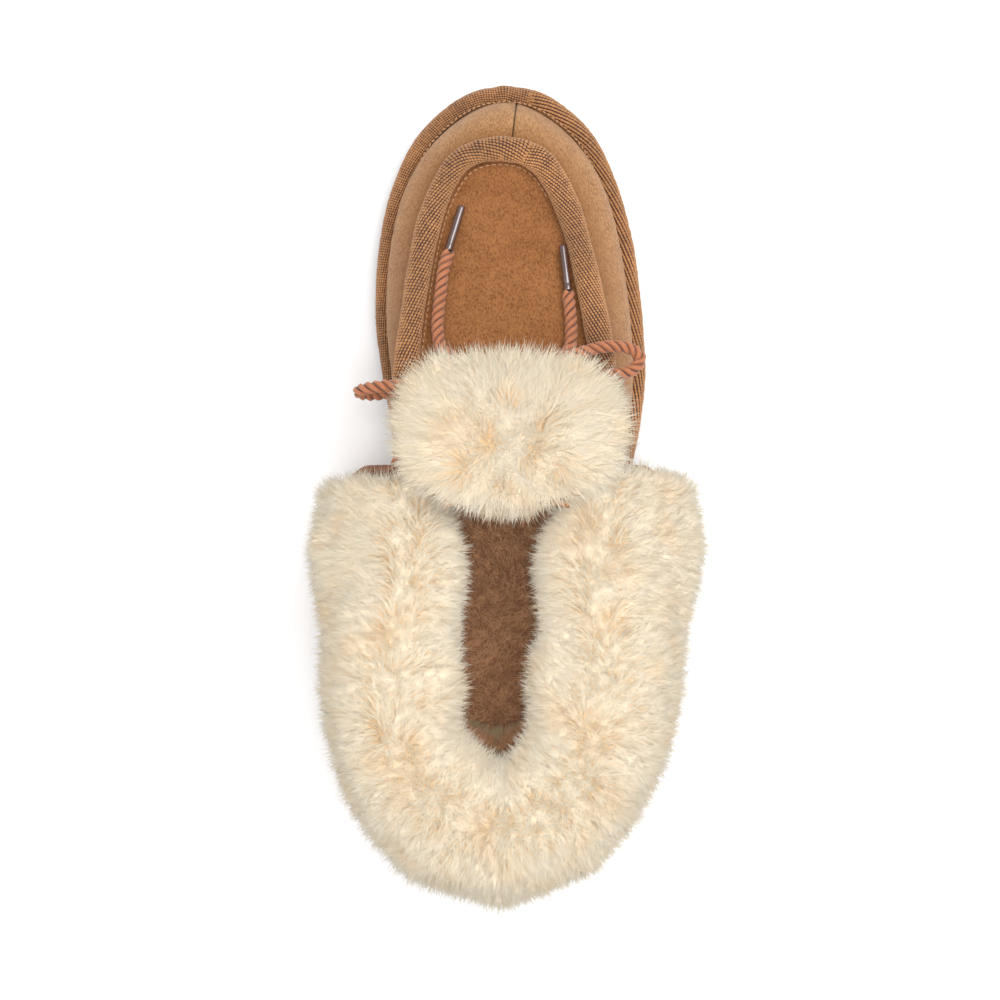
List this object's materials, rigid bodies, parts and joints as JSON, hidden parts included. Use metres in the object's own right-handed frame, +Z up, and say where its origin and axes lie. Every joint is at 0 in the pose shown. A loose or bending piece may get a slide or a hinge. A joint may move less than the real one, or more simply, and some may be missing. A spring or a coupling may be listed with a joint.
{
  "type": "moccasin",
  "caption": "Right-foot suede moccasin slipper boot with a raised plug seam, a folded sheepskin cuff, a fleece tongue flap and a rope lace tied in a bow.",
  "frame": {"origin": "on the ground under the middle of the sole's length, on a land of the outsole", "axes": "+Z up, +Y to the toe, +X to the outer side of the right foot"},
  "size_m": [0.1514, 0.31, 0.1172],
  "materials": {
    "suede": "brushed nap",
    "tape": "woven",
    "cream_fleece": "long pile",
    "brown_fleece": "short pile",
    "rubber": "matte",
    "foam": "matte",
    "board": "matte",
    "rope": "twisted",
    "aglet": "gloss"
  },
  "bodies": {
    "shoe": {"outsole": "rubber", "foam_midsole": "foam", "insole_board": "board", "insole_fleece": "brown_fleece", "sole_binding": "tape", "wall_medial": "suede", "wall_lateral": "suede", "lining_medial": "brown_fleece", "lining_lateral": "brown_fleece", "heel_counter": "board", "back_strap": "suede", "plug": "suede", "plug_lining": "brown_fleece", "plug_binding": "tape", "shaft_medial": "suede", "shaft_lateral": "suede", "cuff_fleece_medial": "cream_fleece", "cuff_fleece_lateral": "cream_fleece", "edge_binding_medial": "tape", "edge_binding_lateral": "tape", "tongue": "suede", "tongue_fleece": "cream_fleece", "lace_run": "rope", "bow_knot": "rope", "bow_loop_medial": "rope", "bow_loop_lateral": "rope", "lace_tail_medial": "rope", "lace_tail_lateral": "rope", "aglet_medial": "aglet", "aglet_lateral": "aglet", "keeper_medial": "suede", "keeper_lateral": "suede", "keeper_heel": "suede"},
    "tongue_flap": {"flap_hide": "suede", "flap_fleece": "cream_fleece"}
  },
  "joints": [
    {"name": "tongue_flap_fold", "type": "hinge", "parent": "shoe", "child": "tongue_flap", "pos_m": [0, -0.024, 0.104], "axis": [1, 0, 0], "range_deg": [0, 70]}
  ]
}
